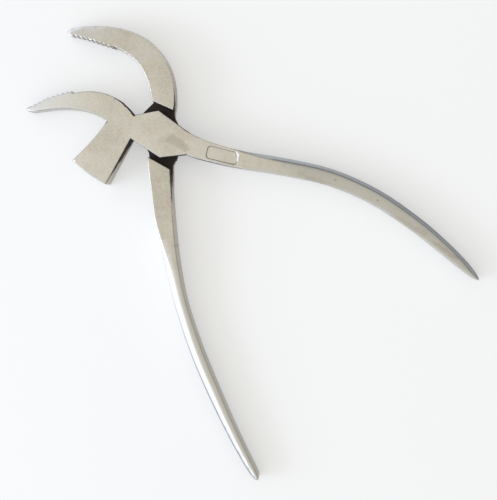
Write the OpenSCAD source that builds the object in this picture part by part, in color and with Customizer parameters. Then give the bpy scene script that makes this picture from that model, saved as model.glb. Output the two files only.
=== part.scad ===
// Shoemaker's lasting pliers: two forged halves lapped over one rivet, with toothed
// jaws that curve to one side and a small hammer block on one half.
// The origin is on the rivet axis in the plane the tool lies on. Z is up. X runs
// along the middle of the opening, towards the handles. Both halves are drawn in
// the closed tool first and are then turned half of the opening each.

/* [Whole tool] */
// Opening between the halves as the tool lies, degrees
rest_open = 35; // [0:1:60]
// Thickness of the steel at joint, jaws and hammer, mm
thickness = 12; // [8:0.5:16]
// Chamfer along the outlines of both faces, mm
edge_break = 0.35; // [0.1:0.05:0.6]

/* [Lap joint] */
// Rivet axis to the straight shoulder on the jaw side, mm
jaw_shoulder = 13; // [12:0.2:15]
// Rivet axis to the straight shoulder on the handle side, mm
handle_shoulder = 11.2; // [10.4:0.2:13]
// Space between a shoulder and the cheek edge it faces in the closed tool, mm
shoulder_gap = 1.5; // [0.8:0.1:2.5]
// Half height of the cheek towards the back of the tool, mm
cheek_back = 8.9; // [8:0.1:10]
// Half height of the cheek towards the hammer, mm
cheek_front = 8.4; // [8:0.1:9.5]
// Rivet axis to the blunt edge of the cheek under the jaw, mm
cheek_toe = 13.6; // [12.6:0.1:15]
// Space between the two lapped cheeks, mm
lap_gap = 0.1; // [0.05:0.01:0.2]

/* [Rivet] */
// Shank diameter, mm
rivet_d = 8; // [6:0.5:9]
// Diameter of the two heads where they lie flush, mm
rivet_head_d = 11.5; // [10:0.5:13]
// Space all round the shank in the half that turns, mm
rivet_clearance = 0.05; // [0.03:0.01:0.09]

/* [Jaws] */
// Rivet axis to the jaw tips, along the tool, mm
jaw_reach = 60; // [52:0.5:68]
// How far the jaw tips hang to the hammer side, mm
jaw_drop = 20; // [16:0.5:24]
// Thickness of the jaws at their tips, mm
jaw_tip_thickness = 7; // [5:0.5:11]
// Where the jaws begin to get thinner, mm from the rivet axis
jaw_taper_start = 22; // [20:1:34]
// Space left in the throat behind the teeth when closed, mm
mouth_gap = 1.4; // [1:0.1:2.5]
// How far the inner teeth of the hammer half stand above its smooth mouth curve, mm
hammer_tooth_rise = 1.1; // [0.4:0.1:1.3]
// How far the inner teeth of the plain half stand above its smooth mouth curve, mm
plain_tooth_rise = 0.7; // [0.3:0.1:0.9]
// Grooves in each jaw
tooth_count = 9; // [5:1:10]
// Distance from groove to groove, mm
tooth_pitch = 2.25; // [1.6:0.05:2.4]
// Depth of the grooves, mm
tooth_depth = 0.8; // [0.5:0.1:1.2]

/* [Hammer block] */
// Rivet axis to the hammer face, across the tool, mm
hammer_reach = 31.4; // [26:0.2:36]
// Width of the hammer face, mm
hammer_face = 18.8; // [15:0.2:22]
// Rivet axis to the near side of the hammer, along the tool, mm
hammer_near = 10.1; // [9.5:0.1:12]
// Crown of the hammer face, mm
hammer_crown = 0.7; // [0.2:0.1:1.5]

/* [Handles] */
// Rivet axis to the end of the handle of the hammer half, mm
hammer_handle_reach = 157; // [130:1:180]
// Rivet axis to the end of the handle of the plain half, mm
plain_handle_reach = 162.5; // [130:1:185]
// How far the handle of the hammer half bows out in the closed tool, mm
hammer_handle_bow = 27.1; // [22:0.1:32]
// How far the handle of the plain half bows out in the closed tool, mm
plain_handle_bow = 25.8; // [21:0.1:31]
// Width of both handles where they leave the joint, mm
handle_width = 9.5; // [8:0.1:11]
// Where the handles begin to get thinner, mm from the rivet axis
taper_start = 38; // [36:1:60]
// Thickness of the handles near their ends, mm
handle_end_thickness = 8.4; // [6:0.2:10]
// Width of the rounded strip on the outer side of the hammer half's handle, mm
hammer_strip = 2; // [1:0.1:3]
// Width of the rounded strip on the outer side of the plain half's handle, mm
plain_strip = 3.3; // [1:0.1:3.6]
// Radius of the handle edges on the inner side, mm
inner_edge = 0.8; // [0.4:0.1:1.2]

/* [Stamped field, left bare] */
// Length of the field, mm
mark_length = 14.4; // [8:0.2:16]
// Rivet axis to the middle of the field, along the tool, mm
mark_at = 28.7; // [26:0.1:34]
// Height of the field, mm
mark_height = 5.8; // [3:0.2:6.2]
// Depth of the field, mm
mark_depth = 0.3; // [0.1:0.05:0.6]
// Radius of the corners of the field, mm
mark_corner = 1.5; // [0.5:0.1:2]

/* [Hidden] */
$fn = 64;

// Directions square to the two shoulders, in the closed tool
jaw_side = 132;
handle_side = -52.5;
lap = thickness / 2;
head_h = (rivet_head_d - rivet_d) / 2;

function dir(a) = [cos(a), sin(a)];
function flip(pts) = [for (p = pts) [p[0], -p[1]]];
// The point where two straight edges meet, each given by direction and distance
function corner(a, da, b, db) =
    [da * sin(b) - db * sin(a), db * cos(a) - da * cos(b)] / sin(b - a);
function curve_at(p, t) = pow(1 - t, 3) * p[0] + 3 * pow(1 - t, 2) * t * p[1]
    + 3 * (1 - t) * t * t * p[2] + t * t * t * p[3];
function slope_at(p, t) = 3 * (pow(1 - t, 2) * (p[1] - p[0])
    + 2 * (1 - t) * t * (p[2] - p[1]) + t * t * (p[3] - p[2]));
function curve(p, n) = [for (i = [0:n]) curve_at(p, i / n)];
// A smooth line through stations, each with x, y and a width
function between(a, b, c, d, t) = 0.5 * (2 * b + (c - a) * t
    + (2 * a - 5 * b + 4 * c - d) * t * t + (3 * b - a - 3 * c + d) * t * t * t);
function station(s, u) = let (n = len(s) - 1, k = min(floor(u * n), n - 1), t = u * n - k)
    between(s[max(k - 1, 0)], s[k], s[k + 1], s[min(k + 2, n)], t);
function smooth(a, b, x) = let (t = min(max((x - a) / (b - a), 0), 1)) t * t * (3 - 2 * t);

// A skin over a row of rings with the same number of points, each clockwise seen against
// the direction of the row. It ends in two caps, or the last ring joins on to the first.
module skin(row, joined) {
    n = len(row[0]);
    last = len(row) - 1;
    polyhedron([for (r = row) each r], concat(
        joined ? [] : [[for (j = [n - 1:-1:0]) j], [for (j = [0:n - 1]) last * n + j]],
        [for (i = [0:joined ? last : last - 1]) for (j = [0:n - 1])
            let (a = i * n, b = (i + 1) % (last + 1) * n, k = (j + 1) % n)
            each [[a + k, b + j, a + j], [b + k, b + j, a + k]]]));
}
// Height of the front face of the jaws, in straight steps that grow towards the tips
taper_step = (jaw_reach - jaw_taper_start) / 8;
function jaw_top(x) = let (u = max(-x - jaw_taper_start, 0) / taper_step, k = floor(u))
    thickness - (thickness - jaw_tip_thickness) * (k * k + (2 * k + 1) * (u - k)) / 64;
module above_jaws() {
    xs = [for (i = [0:10]) -jaw_taper_start - i * taper_step];
    rotate([90, 0, 0]) linear_extrude(4 * jaw_reach, center = true) polygon(concat(
        [for (x = xs) [x, jaw_top(x)]], [[xs[10], thickness + 1], [xs[0], thickness + 1]]));
}
// An outline as thick as the tool, less the space above the jaws and a frame of three
// sides that cuts the chamfer round each face
function turn(p, i) = let (n = len(p), a = p[i], b = p[(i + 1) % n]) a[0] * b[1] - b[0] * a[1];
function backwards(p) = [for (i = [len(p) - 1:-1:0]) p[i]];
function clockwise(p) = let (s = [for (i = [0:len(p) - 1]) turn(p, i)] * [for (q = p) 1])
    s > 0 ? backwards(p) : p;
function side_in(a, b) = [b[1] - a[1], a[0] - b[0]] / norm(b - a);
function inset(p, d) = let (n = len(p)) [for (i = [0:n - 1]) let (
    a = side_in(p[(i + n - 1) % n], p[i]), b = side_in(p[i], p[(i + 1) % n]))
    p[i] + d * (a + b) / (1 + a * b)];
function lifted(p, z) = [for (q = p) [q[0], q[1], z]];
function under_face(p, d) = [for (q = p) [q[0], q[1], jaw_top(q[0]) - d]];
module slab(outline) {
    full = clockwise(outline);
    spare = 0.15;
    out = inset(full, -spare);
    over = inset(full, edge_break + spare);
    low = edge_break + spare;
    difference() {
        linear_extrude(thickness) polygon(outline);
        above_jaws();
        skin([lifted(out, -spare), lifted(out, low), lifted(over, -spare)], true);
        skin([under_face(out, low), under_face(out, -spare), under_face(over, -spare)], true);
    }
}

// Mouth side of the two jaws: the plain one, and the hammer one a little way off
plain_bite = [[-16.5, 3], [-0.621 * jaw_reach, 0.49 * jaw_drop],
    [-0.788 * jaw_reach, -0.125 * jaw_drop], [0.7 - jaw_reach, 0.3 - jaw_drop]];
hammer_bite = plain_bite + mouth_gap * [[1, -0.82], [1.86, 0], [1.11, -1.26], [-0.07, 0.29]];

// Cheek outline, from its corner beside the hammer round to its corner under the jaw.
// The hammer half uses it as it is, the plain half turned over.
function cheek(far, low, end_x) = let (
    e = jaw_shoulder - shoulder_gap, n = dir(handle_side)) [
    corner(handle_side, far, -92, low),
    [end_x, (n[0] * end_x - far) / -n[1]],
    [end_x, 5],
    [11, cheek_back - 0.95],
    [4, cheek_back - 0.33],
    corner(jaw_side, e, 85, cheek_back)];
hammer_cheek = cheek(handle_shoulder - shoulder_gap, cheek_front, 14.4);
plain_cheek = cheek(handle_shoulder - shoulder_gap - 1, cheek_front + 0.5, 12.5);
// The rear cheek of the plain half runs a little way down the inner side of its handle
plain_heel = [[9, 1], [12.2, -1.1], [14, 0.9], [16.6, 2], [20, 3.5], [26, 6.2], [24, 9], [9, 6]];

// The mouth side of a jaw from the throat to the tip. The teeth stand more and more above
// the mouth curve towards the throat. The side tells on which side of the curve the steel
// is, 1 for the plain half, and the start how far the outline runs back past the curve.
function groove_t(p, s) = 1 - s * (1 + s / (2.6 * jaw_reach)) / (3 * norm(p[3] - p[2]));
function first_groove(side) = side > 0 ? 1.6 : 0.8;
function rise(p, t, side) = side > 0
    ? plain_tooth_rise * smooth(groove_t(p, 2), groove_t(p, 15), t)
    : hammer_tooth_rise * smooth(groove_t(p, 0.5), groove_t(p, 9), t);
function into(p, t, side) = let (v = slope_at(p, t) / norm(slope_at(p, t))) side * [v[1], -v[0]];
function crest(p, t, side) = curve_at(p, t) - rise(p, t, side) * into(p, t, side);
function toothed(p, side, start) = let (
    far = groove_t(p, first_groove(side) + (tooth_count - 0.55) * tooth_pitch)) concat(
    [for (i = [0:20]) curve_at(p, start + (far - start) * i / 20)],
    [for (i = [0:16]) crest(p, far + (1 - far) * (0.02 + 0.98 * i / 16), side)]);

// Jaw outlines
lower_tip = [[-jaw_reach + 0.1, -jaw_drop - 0.2], [-jaw_reach - 0.3, -jaw_drop - 1.1],
    [-jaw_reach - 0.1, -jaw_drop - 1.9], [-jaw_reach + 0.9, -jaw_drop - 2.1]];
lower_back = [[-jaw_reach + 2.6, -jaw_drop - 1.4], [-0.774 * jaw_reach, -0.626 * jaw_drop],
    [-0.667 * jaw_reach, -0.371 * jaw_drop], [-25.2, -6.6]];
upper_tip = [[-jaw_reach - 0.2, -jaw_drop - 0.4], [-jaw_reach - 1.1, -jaw_drop - 0.6],
    [-jaw_reach - 1.7, -jaw_drop - 0.1], [-jaw_reach - 2.1, -jaw_drop + 0.9]];
upper_back = [[-jaw_reach - 2.2, -jaw_drop + 2.3], [-0.961 * jaw_reach, -0.031 * jaw_drop],
    [-0.683 * jaw_reach, 1.475 * jaw_drop], [-6.9, 9.7]];

// Hammer block: crowned face and flared far side
hammer_far = -hammer_near - hammer_face;
hammer_end = [for (i = [9:-1:0]) let (u = i / 10) [-hammer_near - hammer_face * u,
    -hammer_reach - 0.4 + 1.4 * u - 4 * hammer_crown * u * (1 - u)]];
hammer_flank = [[-24.4, -6.7], [-24.7, -15.2], [hammer_far + 2, -hammer_reach + 8.5],
    [hammer_far, -hammer_reach + 1]];

// Both halves as they lie over the rivet: jaw, cheek and, on one of them, the hammer
hammer_outline = concat(toothed(hammer_bite, -1, 0), lower_tip, curve(lower_back, 22),
    curve(hammer_flank, 10), hammer_end, [corner(-92, cheek_front, 213, cheek_toe)], hammer_cheek);
plain_outline = concat(toothed(plain_bite, 1, -0.012), upper_tip,
    [for (i = [0:25]) curve_at(upper_back, i / 26)], [[-7.4, 9.6], [-5.5, cheek_front + 0.3]],
    flip(plain_cheek), flip([corner(jaw_side, jaw_shoulder - shoulder_gap, 154, cheek_toe)]));

// Handle stations in the closed tool: share of the reach, share of the bow, share of the width
function handle_line(shares, reach, bow) =
    [for (s = shares) [s[0] * reach, s[1] * bow, s[2] * handle_width]];
hammer_stations = handle_line([[0.038, 0.122, 0.97], [0.094, 0.133, 1], [0.134, 0.181, 0.94],
    [0.22, 0.332, 0.863], [0.344, 0.62, 0.842], [0.481, 0.889, 0.821], [0.624, 1, 0.768],
    [0.764, 0.963, 0.716], [0.866, 0.878, 0.632], [0.943, 0.793, 0.484], [0.984, 0.738, 0.295],
    [1, 0.716, 0.126]], hammer_handle_reach, hammer_handle_bow);
plain_stations = handle_line([[0.025, 0.132, 1.01], [0.089, 0.267, 1], [0.154, 0.403, 0.937],
    [0.215, 0.531, 0.895], [0.295, 0.682, 0.811], [0.369, 0.795, 0.716], [0.462, 0.907, 0.653],
    [0.585, 0.981, 0.663], [0.695, 1, 0.653], [0.818, 0.992, 0.579], [0.911, 0.965, 0.495],
    [0.966, 0.934, 0.421], [0.992, 0.915, 0.316], [1, 0.907, 0.168]],
    plain_handle_reach, -plain_handle_bow);

// Height of the front face over the table, thinner towards the ends
function face_z(x, reach) = thickness
    - (thickness - handle_end_thickness - 0.9) * smooth(taper_start, taper_start + 50, x)
    - 0.9 * smooth(taper_start + 50, reach, x);
// Width of the rounded strip: it runs out before the joint and at the handle end
function strip(x, w, full) = min(0.12 + (full - 0.12) * smooth(30, 40 + 6 * full, x), 0.54 * w);

// One cross-section of a handle: round outer side, eased edges on the inner side
arc_end = 60;
function section(w, top, f, r) = let (c = top / 2, q = min(r, w / 4, top / 4)) concat(
    [for (i = [0:10]) let (a = arc_end - i * arc_end / 5)
        [w / 2 - f * (1 - cos(a)) / (1 - cos(arc_end)), c + c * sin(a) / sin(arc_end)]],
    [for (i = [0:3]) [-w / 2 + q - q * sin(i * 30), q - q * cos(i * 30)]],
    [for (i = [0:3]) [-w / 2 + q - q * cos(i * 30), top - q + q * sin(i * 30)]]);
rings = 44;
function ring(s, reach, full, out, i) = let (
    u = i / rings, p = station(s, u),
    a = station(s, max(u - 0.004, 0)), b = station(s, min(u + 0.004, 1)),
    t = [b[0] - a[0], b[1] - a[1]] / norm([b[0] - a[0], b[1] - a[1]]))
    [for (q = section(p[2], face_z(p[0], reach), strip(p[0], p[2], full), inner_edge))
        [p[0] - out * t[1] * q[0], p[1] + out * t[0] * q[0], q[1]]];
// The outer side of the handle is to the left of its line, or for -1 to the right
module handle(s, reach, full, out) {
    skin([for (i = [0:rings]) let (r = ring(s, reach, full, out, i)) out > 0 ? r : backwards(r)], false);
}

// Grooves, cut from the crests into the steel
module grooves(p, side) {
    clear = 0.2;
    w = 0.4 * tooth_pitch * (1 + clear / tooth_depth);
    for (k = [0:tooth_count - 1]) {
        t = groove_t(p, first_groove(side) + k * tooth_pitch);
        n = into(p, t, side);
        c = crest(p, t, side);
        d = [-n[1], n[0]];
        polygon([c + tooth_depth * n, c - w * d - clear * n, c + w * d - clear * n]);
    }
}

// The space between the shoulders that is cleared for the other half
module lap_space(side_y) {
    a = dir(side_y * jaw_side);
    b = dir(side_y * handle_side);
    la = [-a[1], a[0]];
    lb = [-b[1], b[0]];
    polygon([a * jaw_shoulder + la * 40, a * jaw_shoulder - la * 40,
        b * handle_shoulder + lb * 40, b * handle_shoulder - lb * 40]);
}

// Chamfer on the edges of the two shoulders, on the face at that height
module shoulder_breaks(side_y, z) {
    for (s = [[jaw_side, jaw_shoulder], [handle_side, handle_shoulder]])
        rotate([0, 0, side_y * s[0]]) translate([s[1], 0, z]) rotate([0, 45, 0])
            cube([edge_break * sqrt(2), 3 * handle_width, edge_break * sqrt(2)], center = true);
}

module rivet_shape(grow) {
    translate([0, 0, -grow]) cylinder(h = thickness + 2 * grow, d = rivet_d + 2 * grow);
    translate([0, 0, thickness - head_h])
        cylinder(h = head_h, d1 = rivet_d + 2 * grow, d2 = rivet_head_d + 2 * grow);
    translate([0, 0, 0])
        cylinder(h = head_h, d1 = rivet_head_d + 2 * grow, d2 = rivet_d + 2 * grow);
}

// Bare field on the handle face, in line with the handle
function share_at(s, x, low = 0, high = 1, tries = 16) = let (mid = (low + high) / 2)
    tries == 0 ? mid : station(s, mid)[0] < x ? share_at(s, x, mid, high, tries - 1)
                                              : share_at(s, x, low, mid, tries - 1);
module mark_field() {
    u = share_at(hammer_stations, mark_at);
    p = station(hammer_stations, u);
    ahead = station(hammer_stations, u + 0.01) - p;
    long = mark_length - 2 * mark_corner;
    high = mark_height - 2 * mark_corner;
    translate([p[0], p[1], thickness - mark_depth]) rotate([0, 0, atan2(ahead[1], ahead[0])])
        linear_extrude(mark_depth + 1) {
            square([long, mark_height], center = true);
            square([mark_length, high], center = true);
            for (x = [-1, 1], y = [-1, 1])
                translate([x * long / 2, y * high / 2]) circle(r = mark_corner);
        }
}

// Half with the lower jaw and the hammer: front cheek, upper handle
module hammer_half() {
    color([0.72, 0.71, 0.66])
    rotate([0, 0, rest_open / 2])
    difference() {
        union() {
            slab(hammer_outline);
            handle(hammer_stations, hammer_handle_reach, hammer_strip, 1);
        }
        translate([0, 0, -1]) linear_extrude(thickness + 2) grooves(hammer_bite, -1);
        translate([0, 0, -1]) linear_extrude(lap + lap_gap / 2 + 1) lap_space(-1);
        shoulder_breaks(-1, 0);
        rivet_shape(0);
        mark_field();
    }
}

// Half with the upper jaw: rear cheek, lower handle
module plain_half() {
    color([0.68, 0.67, 0.62])
    rotate([0, 0, -rest_open / 2])
    difference() {
        union() {
            slab(plain_outline);
            handle(plain_stations, plain_handle_reach, plain_strip, -1);
            linear_extrude(lap - lap_gap / 2) polygon(flip(plain_heel));
        }
        translate([0, 0, -1]) linear_extrude(thickness + 2) grooves(plain_bite, 1);
        translate([0, 0, lap - lap_gap / 2]) linear_extrude(lap + 2) lap_space(1);
        shoulder_breaks(1, thickness);
        rivet_shape(rivet_clearance);
    }
}

// Rivet, headed over and ground flush on both sides
module pivot_rivet() {
    color([0.62, 0.61, 0.57]) rivet_shape(0);
}

hammer_half();
plain_half();
pivot_rivet();
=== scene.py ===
import math

import bpy
from mathutils import Matrix, Vector

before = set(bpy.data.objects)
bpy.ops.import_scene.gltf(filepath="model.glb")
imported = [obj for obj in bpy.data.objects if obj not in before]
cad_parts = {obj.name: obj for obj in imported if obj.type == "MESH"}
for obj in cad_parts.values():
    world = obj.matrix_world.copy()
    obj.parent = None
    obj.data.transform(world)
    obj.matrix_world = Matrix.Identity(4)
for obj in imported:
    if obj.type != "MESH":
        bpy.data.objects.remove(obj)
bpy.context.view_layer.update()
MM = 0.001

# Hammer half: jaw, hammer block, front cheek and handle forged as one piece of steel, then
# ground on a wheel and eased with a file. Years of work have warmed its faces, and the wheel
# missed the walls near the joint. Its eased edges and the rounded side of its handle are worn
# by rubbing, and are painted blue-grey as a painted reflection.
hammer_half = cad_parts["hammer_half"]
SAME_POINT = 0.002 * MM
RIVET_SEAT = 6.5 * MM
SHARPEST_SOFT_BEND = 50


def put(tree, kind, inputs=None, **settings):
    """Adds a node with its settings and with values or links for its inputs."""
    made = tree.nodes.new(kind)
    for name, value in settings.items():
        setattr(made, name, value)
    for name, value in (inputs or {}).items():
        if isinstance(value, bpy.types.NodeSocket):
            tree.links.new(value, made.inputs[name])
        else:
            made.inputs[name].default_value = value
    return made


def one_skin():
    """A modifier's nodes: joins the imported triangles, and keeps sharp bends and the rivet's seat sharp."""
    tree = bpy.data.node_groups.new("one skin", "GeometryNodeTree")
    tree.interface.new_socket("Geometry", in_out="INPUT", socket_type="NodeSocketGeometry")
    tree.interface.new_socket("Geometry", in_out="OUTPUT", socket_type="NodeSocketGeometry")
    start = put(tree, "NodeGroupInput")
    joined = put(tree, "GeometryNodeMergeByDistance", {"Geometry": start.outputs[0], "Distance": SAME_POINT})
    bend = put(tree, "GeometryNodeInputMeshEdgeAngle")
    slight = put(tree, "FunctionNodeCompare",
                 {"A": bend.outputs["Unsigned Angle"], "B": math.radians(SHARPEST_SOFT_BEND)},
                 operation="LESS_THAN")
    where = put(tree, "GeometryNodeInputPosition")
    flat = put(tree, "ShaderNodeVectorMath", {0: where.outputs[0], 1: (1, 1, 0)}, operation="MULTIPLY")
    reach = put(tree, "ShaderNodeVectorMath", {0: flat.outputs[0]}, operation="LENGTH")
    off_rivet = put(tree, "FunctionNodeCompare", {"A": reach.outputs["Value"], "B": RIVET_SEAT},
                    operation="GREATER_THAN")
    soft = put(tree, "FunctionNodeBooleanMath", {0: slight.outputs[0], 1: off_rivet.outputs[0]},
               operation="AND")
    shaded = put(tree, "GeometryNodeSetShadeSmooth",
                 {"Geometry": joined.outputs[0], "Shade Smooth": soft.outputs[0]}, domain="EDGE")
    put(tree, "NodeGroupOutput", {"Geometry": shaded.outputs[0]})
    return tree


SKIN = one_skin()


def ease_edges(piece):
    """Shades the chamfers as worn, round edges between the flat faces."""
    piece.data.polygons.foreach_set("use_smooth", [True] * len(piece.data.polygons))
    joined = piece.modifiers.new("one skin", "NODES")
    joined.node_group = SKIN
    flats = piece.modifiers.new("flat faces stay flat", "WEIGHTED_NORMAL")
    flats.weight = 80
    flats.keep_sharp = True


ease_edges(hammer_half)

VALUE = "NodeSocketFloat"
PLACE = "NodeSocketVector"
COLOUR = "NodeSocketColor"


def effect(name, inputs, outputs):
    """Opens a node group. Gives back its tree and the sockets that bring its inputs in."""
    tree = bpy.data.node_groups.new(name, "ShaderNodeTree")
    for label, kind, value in inputs:
        tree.interface.new_socket(label, in_out="INPUT", socket_type=kind).default_value = value
    for label, kind in outputs:
        tree.interface.new_socket(label, in_out="OUTPUT", socket_type=kind)
    return tree, put(tree, "NodeGroupInput").outputs


def vectors(tree, operation, first, second=None):
    """One step of reckoning with places or directions."""
    inputs = {0: first} if second is None else {0: first, 1: second}
    return put(tree, "ShaderNodeVectorMath", inputs, operation=operation).outputs


def parts(tree, vector):
    """The X, Y and Z of a place or a direction."""
    return put(tree, "ShaderNodeSeparateXYZ", {0: vector}).outputs


def reckon(tree, operation, first, second=0.0):
    """One step of reckoning with numbers."""
    return put(tree, "ShaderNodeMath", {0: first, 1: second}, operation=operation).outputs[0]


def times(tree, first, *others):
    """Multiplies numbers or masks."""
    product = first
    for other in others:
        product = reckon(tree, "MULTIPLY", product, other)
    return product


def plus(tree, first, *others):
    """Adds numbers or masks."""
    total = first
    for other in others:
        total = reckon(tree, "ADD", total, other)
    return total


def left_of(tree, mask):
    """What a mask leaves free."""
    return reckon(tree, "SUBTRACT", 1.0, mask)


def fade(tree, value, nothing_at, full_at):
    """Runs from 0 to 1 between the two values, with soft ends."""
    made = put(tree, "ShaderNodeMapRange", {"Value": value, "From Min": nothing_at, "From Max": full_at},
               interpolation_type="SMOOTHSTEP")
    return made.outputs[0]


def cover(tree, amount, under, over, way="MIX"):
    """Lays one colour over another."""
    made = put(tree, "ShaderNodeMix", {0: amount, 6: under, 7: over}, data_type="RGBA", blend_type=way)
    return made.outputs[2]


def grain(tree, place, per_mm, detail):
    """Noise, with so many of its waves in a millimetre."""
    return put(tree, "ShaderNodeTexNoise", {"Vector": place, "Scale": per_mm, "Detail": detail}).outputs


def upward(tree, normal):
    """1 where the surface lies flat, face up or face down, and 0 where it stands on edge."""
    return reckon(tree, "ABSOLUTE", parts(tree, normal)["Z"])


def from_rivet(tree, place):
    """Distance from the axis of the rivet."""
    flat = vectors(tree, "MULTIPLY", place, (1, 1, 0))[0]
    return vectors(tree, "LENGTH", flat)["Value"]


CLEAN_STEEL = (0.662, 0.628, 0.566, 1)
HANDLED_STEEL = (0.592, 0.555, 0.488, 1)


def handled_steel():
    """Steel with clouds of warm tarnish, faint coloured blotches and fine specks."""
    tree, given = effect("handled steel",
                         [("Place", PLACE, (0, 0, 0)), ("Clean", COLOUR, CLEAN_STEEL),
                          ("Handled", COLOUR, HANDLED_STEEL), ("Clouds per mm", VALUE, 0.06),
                          ("Blotches", VALUE, 0.10), ("Specks", VALUE, 0.30)],
                         [("Colour", COLOUR)])
    cloud = fade(tree, grain(tree, given["Place"], given["Clouds per mm"], 4.0)["Fac"], 0.36, 0.64)
    tone = cover(tree, cloud, given["Clean"], given["Handled"])
    blotch = grain(tree, given["Place"], 0.3, 4.0)["Color"]
    tone = cover(tree, given["Blotches"], tone, blotch, "OVERLAY")
    speck = grain(tree, given["Place"], 1.3, 3.0)["Fac"]
    tone = cover(tree, given["Specks"], tone, speck, "OVERLAY")
    put(tree, "NodeGroupOutput", {"Colour": tone})
    return tree


def grinding_lines():
    """Fine scratches of the wheel, all in one direction."""
    tree, given = effect("grinding lines", [("Place", PLACE, (0, 0, 0)), ("Turn", VALUE, 0.0)],
                         [("Height", VALUE)])
    turned = put(tree, "ShaderNodeVectorRotate", {"Vector": given["Place"], "Angle": given["Turn"]},
                 rotation_type="Z_AXIS")
    drawn_out = vectors(tree, "MULTIPLY", turned.outputs[0], (0.12, 3.2, 0.8))[0]
    put(tree, "NodeGroupOutput", {"Height": grain(tree, drawn_out, 1.0, 4.0)["Fac"]})
    return tree


def worn_edges_with_sheen():
    """Where hands and other tools rub, and where the materials paint a sheen on the edges: everything
    between the flat faces and the walls.
    """
    tree, given = effect("worn edges with sheen", [("Place", PLACE, (0, 0, 0)), ("Normal", PLACE, (0, 0, 1))],
                         [("Mask", VALUE)])
    facing = upward(tree, given["Normal"])
    off_wall = fade(tree, facing, 0.22, 0.5)
    off_face = fade(tree, facing, 0.972, 0.92)
    broken = fade(tree, grain(tree, given["Place"], 0.5, 3.0)["Fac"], 0.25, 0.6)
    put(tree, "NodeGroupOutput", {"Mask": times(tree, off_wall, off_face, broken)})
    return tree


MIDDLE_HEIGHT = 6.0
HOLLOW_REACH = 18.0


def forging_scale():
    """The black skin of the forge, left on walls and on the joint's hollows within reach of the rivet."""
    tree, given = effect("forging scale",
                         [("Place", PLACE, (0, 0, 0)), ("Normal", PLACE, (0, 0, 1)),
                          ("Reach", VALUE, 26.0), ("Lean", VALUE, 1.5)],
                         [("Mask", VALUE), ("Crust", VALUE)])
    above_middle = reckon(tree, "SUBTRACT", parts(tree, given["Place"])["Z"], MIDDLE_HEIGHT)
    facing = upward(tree, given["Normal"])
    reach = from_rivet(tree, given["Place"])
    crust = grain(tree, given["Place"], 0.45, 5.0)["Fac"]
    end = plus(tree, given["Reach"], 6.0, times(tree, above_middle, given["Lean"]))
    ragged = plus(tree, reach, times(tree, crust, 12.0))
    on_walls = fade(tree, reckon(tree, "SUBTRACT", end, ragged), -3.0, 4.0)
    in_hollows = times(tree, fade(tree, reach, HOLLOW_REACH + 2, HOLLOW_REACH), fade(tree, facing, 0.4, 0.6))
    left = reckon(tree, "MAXIMUM", on_walls, in_hollows)
    off_middle = reckon(tree, "ABSOLUTE", above_middle)
    ground_off = times(tree, fade(tree, off_middle, 2.5, 3.2), fade(tree, facing, 0.4, 0.6))
    put(tree, "NodeGroupOutput", {"Mask": times(tree, left, left_of(tree, ground_off)), "Crust": crust})
    return tree


def ragged_mark():
    """A ragged spot or streak on a face, between two points."""
    tree, given = effect("ragged_mark",
                         [("Place", PLACE, (0, 0, 0)), ("From", PLACE, (0, 0, 0)), ("To", PLACE, (1, 0, 0)),
                          ("Width", VALUE, 1.0), ("Ragged", VALUE, 1.0)],
                         [("Mask", VALUE)])
    flat = vectors(tree, "MULTIPLY", given["Place"], (1, 1, 0))[0]
    here = vectors(tree, "SUBTRACT", flat, given["From"])[0]
    line = vectors(tree, "SUBTRACT", given["To"], given["From"])[0]
    along = vectors(tree, "DOT_PRODUCT", here, line)["Value"]
    whole = vectors(tree, "DOT_PRODUCT", line, line)["Value"]
    share = put(tree, "ShaderNodeClamp", {"Value": reckon(tree, "DIVIDE", along, whole)}).outputs[0]
    nearest = put(tree, "ShaderNodeVectorMath", {0: line, "Scale": share}, operation="SCALE").outputs[0]
    away = vectors(tree, "DISTANCE", here, nearest)["Value"]
    wander = reckon(tree, "SUBTRACT", grain(tree, given["Place"], 0.5, 4.0)["Fac"], 0.5)
    away = plus(tree, away, times(tree, wander, given["Ragged"], 2.0))
    depth = reckon(tree, "DIVIDE", away, given["Width"])
    put(tree, "NodeGroupOutput", {"Mask": fade(tree, depth, 1.0, 0.35)})
    return tree


def pits():
    """Small rust pits, each in its own cell of a net, most of the cells empty."""
    tree, given = effect("pits", [("Place", PLACE, (0, 0, 0)), ("Share", VALUE, 0.07)], [("Mask", VALUE)])
    cells = put(tree, "ShaderNodeTexVoronoi", {"Vector": given["Place"], "Scale": 0.42}).outputs
    luck = put(tree, "ShaderNodeSeparateColor", {0: cells["Color"]}).outputs["Red"]
    there = reckon(tree, "LESS_THAN", luck, given["Share"])
    hole = fade(tree, cells["Distance"], 0.13, 0.05)
    put(tree, "NodeGroupOutput", {"Mask": times(tree, there, hole)})
    return tree


HANDLED = handled_steel()
LINES = grinding_lines()
EDGES_WITH_SHEEN = worn_edges_with_sheen()
SCALE = forging_scale()
RAGGED_MARK = ragged_mark()
PITS = pits()


def group(tree, nodes, **inputs):
    """Places a node group in a material, with values or links for its inputs."""
    return put(tree, "ShaderNodeGroup", inputs, node_tree=nodes).outputs


EDGE_ROUND = 0.5 * MM
STRIP_BLEND = 1.3 * MM
CORNER_REACH = 1.1 * MM
LINE_DEPTH = 0.05 * MM
GROUND_OVER_RIVET = 7.0
HANDLE_START = 30
HANDLE_DULL = 70
TEETH_START = -33
TIP_LENGTH = 26
SCALE_SLANT = 0.28
HANDLE_STEEL = (0.530, 0.520, 0.485, 1)
# Paler, bluish tone for the painted reflection at the ends of the jaws.
JAW_TIP_REFLECTION = (0.665, 0.672, 0.675, 1)
WALL_STEEL = (0.470, 0.445, 0.390, 1)
# Dark blue-grey for the painted reflection on the steep flank of the handle's strip.
FLANK_REFLECTION = (0.170, 0.190, 0.225, 1)
SCALE_BLACK = (0.032, 0.021, 0.017, 1)
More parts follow.
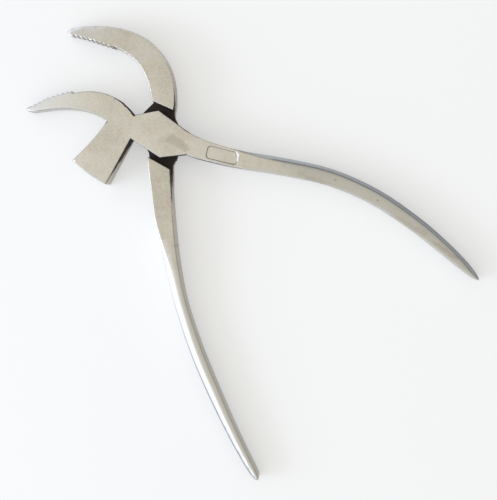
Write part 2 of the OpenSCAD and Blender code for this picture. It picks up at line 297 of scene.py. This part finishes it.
# Brown for painted shade in corners and grooves, and for the painted dark reflection along the strip.
PAINTED_SHADE_BROWN = (0.085, 0.072, 0.060, 1)
PIT_BROWN = (0.120, 0.090, 0.070, 1)


def ground_steel(name, clean, handled, rubbed_with_sheen, lines_turn, scale_reach, hand_side, tip_start, strip_line_shade, stains_and_highlights):
    """Wheel-ground, handled steel. Stained spots and painted highlights are (from, to, width, ragged,
    strength, colour) in mm.
    """
    made = bpy.data.materials.new(name)
    made.use_nodes = True
    tree = made.node_tree
    tree.nodes.clear()
    where = put(tree, "ShaderNodeTexCoord").outputs
    place = vectors(tree, "MULTIPLY", where["Object"], (1 / MM, 1 / MM, 1 / MM))[0]
    along = parts(tree, place)["X"]
    reach = from_rivet(tree, place)

    # Faces, edges and walls, told apart by how the surface lies. No edge is rounded at the
    # rivet, where head and cheek were ground together.
    off_rivet = reckon(tree, "GREATER_THAN", reach, GROUND_OVER_RIVET)
    radius = times(tree, off_rivet, EDGE_ROUND)
    rounded = put(tree, "ShaderNodeBevel", {"Radius": radius}, samples=6).outputs[0]
    facing = upward(tree, rounded)
    upright = upward(tree, where["Normal"])
    outward = times(tree, parts(tree, where["Normal"])["Y"], hand_side)
    on_handle = fade(tree, along, HANDLE_START - 6, HANDLE_START + 4)
    outer_strip = times(tree, fade(tree, outward, 0.05, 0.3), on_handle)
    # Painted reflection: the steep part of the rounded strip, farther along the handle, is painted dark
    # blue-grey.
    flank = times(tree, outer_strip, fade(tree, upright, 0.75, 0.35), fade(tree, along, 40, 110))
    wall = times(tree, fade(tree, facing, 0.5, 0.2), left_of(tree, outer_strip),
                 reckon(tree, "MAXIMUM", fade(tree, reach, 45, 20), 0.35))

    # Painted dark reflection: a line along the rounded strip of the handle, fading out toward the handle's
    # end.
    leaning = put(tree, "ShaderNodeBevel", {"Radius": STRIP_BLEND}, samples=6).outputs[0]
    blended = upward(tree, leaning)
    strip_side = times(tree, parts(tree, leaning)["Y"], hand_side)
    arris = times(tree, fade(tree, blended, 0.80, 0.90), fade(tree, blended, 1.0, 0.965), on_handle,
                  fade(tree, along, 190, 60), fade(tree, strip_side, -0.1, 0.1))

    # Painted shade: inner corners and the grooves between the teeth are darkened where the ambient occlusion
    # finds them closed in.
    open_air = put(tree, "ShaderNodeAmbientOcclusion", {"Distance": CORNER_REACH}, samples=8).outputs["AO"]
    corner_shade = times(tree, fade(tree, open_air, 0.90, 0.62), off_rivet)
    groove_shade = times(tree, fade(tree, open_air, 0.99, 0.92), fade(tree, along, TEETH_START, TEETH_START - 3),
                   fade(tree, upright, 0.6, 0.3))
    corner_shade = reckon(tree, "MAXIMUM", corner_shade, groove_shade)

    steel = group(tree, HANDLED, Place=place, Clean=clean, Handled=handled)
    lines = group(tree, LINES, Place=place, Turn=lines_turn)["Height"]
    inner_side = times(tree, on_handle, fade(tree, outward, 0.0, -0.3))
    # The eased edges and the rounded outer strip of the handle: worn by rubbing, and painted with a sheen, a
    # highlight on the plain half and a reflection on the hammer half.
    edges = times(tree, group(tree, EDGES_WITH_SHEEN, Place=place, Normal=rounded)["Mask"], left_of(tree, inner_side))
    edges = reckon(tree, "MAXIMUM", edges, times(tree, outer_strip, fade(tree, along, 185, 80)))
    scale_end = plus(tree, times(tree, along, SCALE_SLANT), scale_reach)
    scale = group(tree, SCALE, Place=place, Normal=where["Normal"], Reach=scale_end)
    small_pits = group(tree, PITS, Place=place)["Mask"]

    # The colours, from the steel outward.
    # Painted reflection: the ends of the jaws are painted a paler, bluish tone.
    tip_reflection = times(tree, fade(tree, along, tip_start, tip_start - TIP_LENGTH), 0.85)
    tone = cover(tree, tip_reflection, steel["Colour"], JAW_TIP_REFLECTION)
    tone = cover(tree, times(tree, fade(tree, along, HANDLE_START, HANDLE_DULL), 0.7), tone, HANDLE_STEEL)
    # Edges and strip, worn by rubbing, with their painted sheen: a painted highlight on the plain half, a
    # painted reflection on the hammer half.
    tone = cover(tree, times(tree, edges, 0.9), tone, rubbed_with_sheen)
    tone = cover(tree, times(tree, wall, 0.75), tone, WALL_STEEL)
    # Painted dark reflection on the steep flank of the strip.
    tone = cover(tree, times(tree, flank, 0.9), tone, FLANK_REFLECTION)
    # Painted dark reflection along the edge of the strip.
    tone = cover(tree, times(tree, arris, strip_line_shade), tone, PAINTED_SHADE_BROWN)
    # Painted shade in inner corners and between the teeth.
    tone = cover(tree, times(tree, corner_shade, 0.85), tone, PAINTED_SHADE_BROWN)
    marks_and_highlight = times(tree, small_pits, 0.6)
    tone = cover(tree, marks_and_highlight, tone, PIT_BROWN)
    for start, end, width, ragged, strength, colour in stains_and_highlights:
        spot = group(tree, RAGGED_MARK, Place=place, From=(*start, 0), To=(*end, 0), Width=width, Ragged=ragged)
        spot = times(tree, spot["Mask"], strength)
        tone = cover(tree, spot, tone, colour)
        marks_and_highlight = reckon(tree, "MAXIMUM", marks_and_highlight, spot)
    tone = cover(tree, scale["Mask"], tone, SCALE_BLACK)

    # Walls, pits, stained spots, dark lines, the painted rim highlight and scale are rougher than the
    # ground faces, and scale isn't bare metal.
    rough = plus(tree, times(tree, lines, 0.10), 0.36)
    rough = plus(tree, rough, times(tree, wall, 0.12), times(tree, marks_and_highlight, 0.15))
    rough = plus(tree, rough, times(tree, scale["Mask"], 0.35))
    bare = reckon(tree, "SUBTRACT", left_of(tree, scale["Mask"]), times(tree, marks_and_highlight, 0.3))
    height = reckon(tree, "SUBTRACT", times(tree, lines, 0.5), small_pits)
    height = plus(tree, height, times(tree, scale["Crust"], scale["Mask"]))
    bump = put(tree, "ShaderNodeBump",
               {"Strength": 0.35, "Distance": LINE_DEPTH, "Height": height, "Normal": rounded})
    shader = put(tree, "ShaderNodeBsdfPrincipled",
                 {"Base Color": tone, "Metallic": bare, "Roughness": rough, "Normal": bump.outputs[0]})
    put(tree, "ShaderNodeOutputMaterial", {"Surface": shader.outputs[0]})
    return made


# Marks of the hammer half: tarnish on the cheek over the rivet, dark lines in the scale's black
# along the edge of the mouth and at the block's root, a painted highlight at one end of the sunk
# field's rim, and rust on the handle.
STAIN_BROWN = (0.400, 0.360, 0.290, 1)
# Near white for a painted highlight on the sunk field's rim.
RIM_HIGHLIGHT_WHITE = (0.980, 0.980, 0.980, 1)
CHEEK_STAINS = [
    ((4.0, 3.2), (11.6, 5.0), 2.8, 2.4, 0.48, STAIN_BROWN),
    ((1.5, -1.5), (3.0, 0.5), 1.8, 2.0, 0.22, STAIN_BROWN),
]
HAMMER_STAINS_AND_HIGHLIGHTS = CHEEK_STAINS + [
    # Two dark lines in the scale's black.
    ((-26.6, -4.0), (-22.0, -2.8), 0.55, 0.5, 0.95, SCALE_BLACK),
    ((-22.0, -2.8), (-15.0, -2.6), 0.8, 0.8, 0.97, SCALE_BLACK),
    ((-20.9, -16.2), (-20.9, -14.1), 0.5, 0.4, 0.9, PIT_BROWN),
    # Painted highlight at one end of the sunk field's rim.
    ((28.3, 21.3), (30.0, 20.8), 0.45, 0.1, 1.0, RIM_HIGHLIGHT_WHITE),
    ((30.0, 20.8), (31.7, 18.9), 0.45, 0.1, 1.0, RIM_HIGHLIGHT_WHITE),
    ((67.0, 46.4), (67.3, 46.7), 0.6, 0.5, 0.4, PIT_BROWN),
    ((86.8, 54.7), (87.1, 55.0), 0.6, 0.5, 0.35, PIT_BROWN),
    ((55.0, 36.5), (112.0, 60.5), 2.2, 3.0, 0.30, STAIN_BROWN),
    ((118.0, 61.6), (130.0, 64.4), 1.1, 1.6, 0.45, STAIN_BROWN),
]
# Blue-grey for the hammer half's edges and strip, worn by rubbing, painted as a reflection.
BLUE_GREY_REFLECTION = (0.470, 0.495, 0.530, 1)
HAMMER_LINES_TURN = math.radians(-17)
HAMMER_TIP_START = -30
hammer_steel = ground_steel("hammer half steel", clean=CLEAN_STEEL, handled=HANDLED_STEEL,
                            rubbed_with_sheen=BLUE_GREY_REFLECTION, lines_turn=HAMMER_LINES_TURN, scale_reach=23.0,
                            hand_side=1, tip_start=HAMMER_TIP_START, strip_line_shade=0.6, stains_and_highlights=HAMMER_STAINS_AND_HIGHLIGHTS)
hammer_half.data.materials.clear()
hammer_half.data.materials.append(hammer_steel)

# Plain half: the other forging, with the upper jaw and the rear cheek. It turns on the
# rivet, and its thinned middle, black from the forge, passes under the front cheek. The
# rounded side of its handle and its eased edges are worn by rubbing, and are painted near
# white as a painted highlight.
plain_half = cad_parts["plain_half"]
PLAIN_CLEAN = (0.628, 0.594, 0.528, 1)
PLAIN_HANDLED = (0.566, 0.528, 0.458, 1)
# Near white for the edges and strip of the plain half and of the rivet, worn by rubbing, painted as a
# highlight.
RUBBED_HIGHLIGHT_STEEL = (0.930, 0.930, 0.930, 1)
PLAIN_LINES_TURN = math.radians(17)
PLAIN_STAINS = [
    ((41.5, -28.2), (42.3, -27.6), 0.9, 0.8, 0.35, STAIN_BROWN),
]
ease_edges(plain_half)
plain_steel = ground_steel("plain half steel", clean=PLAIN_CLEAN, handled=PLAIN_HANDLED, rubbed_with_sheen=RUBBED_HIGHLIGHT_STEEL,
                           lines_turn=PLAIN_LINES_TURN, scale_reach=16.0, hand_side=-1, tip_start=-46,
                           strip_line_shade=0.0, stains_and_highlights=PLAIN_STAINS)
plain_half.data.materials.clear()
plain_half.data.materials.append(plain_steel)

# Rivet: a steel pin headed over in two countersunk seats and ground flush with the cheeks,
# so its head has the tarnish of the cheek around it and hardly shows.
pivot_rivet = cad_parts["pivot_rivet"]
ease_edges(pivot_rivet)
rivet_steel = ground_steel("rivet steel", clean=CLEAN_STEEL, handled=HANDLED_STEEL, rubbed_with_sheen=RUBBED_HIGHLIGHT_STEEL,
                           lines_turn=HAMMER_LINES_TURN, scale_reach=0.0, hand_side=1,
                           tip_start=HAMMER_TIP_START, strip_line_shade=0.0, stains_and_highlights=CHEEK_STAINS)
pivot_rivet.data.materials.clear()
pivot_rivet.data.materials.append(rivet_steel)

# The table: white paper, which takes a soft shadow. It isn't part of the tool. A share of
# plain white, seen by the camera and in reflections, lifts it as in an over-exposed photo.
PAPER_SIZE = 8
PAPER_BELOW = 0.05 * MM
PAPER_LIFT = 0.42
bpy.ops.mesh.primitive_plane_add(size=PAPER_SIZE, location=(0, 0, -PAPER_BELOW))
table = bpy.context.object
table.name = "paper"
paper = bpy.data.materials.new("white paper")
paper.use_nodes = True
tree = paper.node_tree
tree.nodes.clear()
sheet = put(tree, "ShaderNodeBsdfPrincipled",
            {"Base Color": (0.95, 0.955, 0.96, 1), "Roughness": 0.9, "Specular IOR Level": 0.1})
glow = put(tree, "ShaderNodeEmission", {"Color": (0.985, 0.99, 1.0, 1), "Strength": 1.0})
ray_kind = put(tree, "ShaderNodeLightPath").outputs
seen = reckon(tree, "MAXIMUM", ray_kind["Is Camera Ray"], ray_kind["Is Glossy Ray"])
seen = reckon(tree, "MAXIMUM", seen, ray_kind["Is Transmission Ray"])
white = put(tree, "ShaderNodeMixShader",
            {0: times(tree, seen, PAPER_LIFT), 1: sheet.outputs[0], 2: glow.outputs[0]})
put(tree, "ShaderNodeOutputMaterial", {"Surface": white.outputs[0]})
table.data.materials.append(paper)

# Light: a pale room, brighter low down on the window's side and darker low down on the far
# side, and the window itself, low on the left of the picture.
PICTURE_TURN = math.radians(48.8)
WINDOW_SIDE = 193.9
WINDOW_HEIGHT = 22
WINDOW_AWAY = 1.1
WINDOW_SIZE = (0.7, 0.42)
WINDOW_STRENGTH = 6.0
WINDOW_COLOUR = (0.72, 0.82, 1.0)
ABOVE_BY_WINDOW = (0.95, 0.93, 0.86, 1)
LOW_BY_WINDOW = (1.20, 1.30, 1.48, 1)
ABOVE_FAR_SIDE = (0.84, 0.82, 0.75, 1)
LOW_FAR_SIDE = (0.18, 0.17, 0.15, 1)


def toward(picture_degrees, height_degrees):
    """Unit vector to a lamp, by its direction in the picture, from the right upwards, and its height."""
    a = math.radians(picture_degrees) + PICTURE_TURN
    h = math.radians(height_degrees)
    return Vector((math.cos(a) * math.cos(h), math.sin(a) * math.cos(h), math.sin(h)))


to_window = toward(WINDOW_SIDE, WINDOW_HEIGHT)
middle_of_tool = Vector((0.04, 0, 0))
pane = bpy.data.lights.new("window", "AREA")
pane.shape = "RECTANGLE"
pane.size, pane.size_y = WINDOW_SIZE
pane.energy = WINDOW_STRENGTH * math.pi * WINDOW_SIZE[0] * WINDOW_SIZE[1]
pane.color = WINDOW_COLOUR
window = bpy.data.objects.new("window", pane)
bpy.context.scene.collection.objects.link(window)
window.location = middle_of_tool + to_window * WINDOW_AWAY
window.rotation_mode = "QUATERNION"
window.rotation_quaternion = to_window.to_track_quat("Z", "Y")

world = bpy.data.worlds.new("pale room")
bpy.context.scene.world = world
world.use_nodes = True
tree = world.node_tree
tree.nodes.clear()
ray = put(tree, "ShaderNodeTexCoord").outputs["Generated"]
side = vectors(tree, "DOT_PRODUCT", ray, toward(WINDOW_SIDE, 0))["Value"]
lifted = parts(tree, ray)["Z"]
window_side = cover(tree, fade(tree, lifted, 0.75, 0.25), ABOVE_BY_WINDOW, LOW_BY_WINDOW)
far_side = cover(tree, fade(tree, lifted, 0.80, 0.30), ABOVE_FAR_SIDE, LOW_FAR_SIDE)
room_colour = cover(tree, fade(tree, side, -0.35, 0.55), far_side, window_side)
room = put(tree, "ShaderNodeBackground", {"Color": room_colour, "Strength": 1.0})
put(tree, "ShaderNodeOutputWorld", {"Surface": room.outputs[0]})

# Camera: as in the photograph, 476 mm above the face of the tool and nearly straight down.
LONG_SIDE = 500
FOCAL_PIXELS = 1052
SENSOR_WIDTH = 36
camera_at = Vector((67.73, 30.45, 488)) * MM
looks_at = Vector((65.36, -3.86, 12)) * MM
picture_up = Vector((-math.sin(PICTURE_TURN), math.cos(PICTURE_TURN), 0))
lens = bpy.data.cameras.new("camera")
lens.sensor_width = SENSOR_WIDTH
lens.lens = SENSOR_WIDTH * FOCAL_PIXELS / LONG_SIDE
camera = bpy.data.objects.new("camera", lens)
bpy.context.scene.collection.objects.link(camera)
back = (camera_at - looks_at).normalized()
right = picture_up.cross(back).normalized()
camera_turn = Matrix((right, back.cross(right), back)).transposed().to_4x4()
camera.matrix_world = Matrix.Translation(camera_at) @ camera_turn
bpy.context.scene.camera = camera

bpy.context.scene.view_settings.view_transform = "Standard"
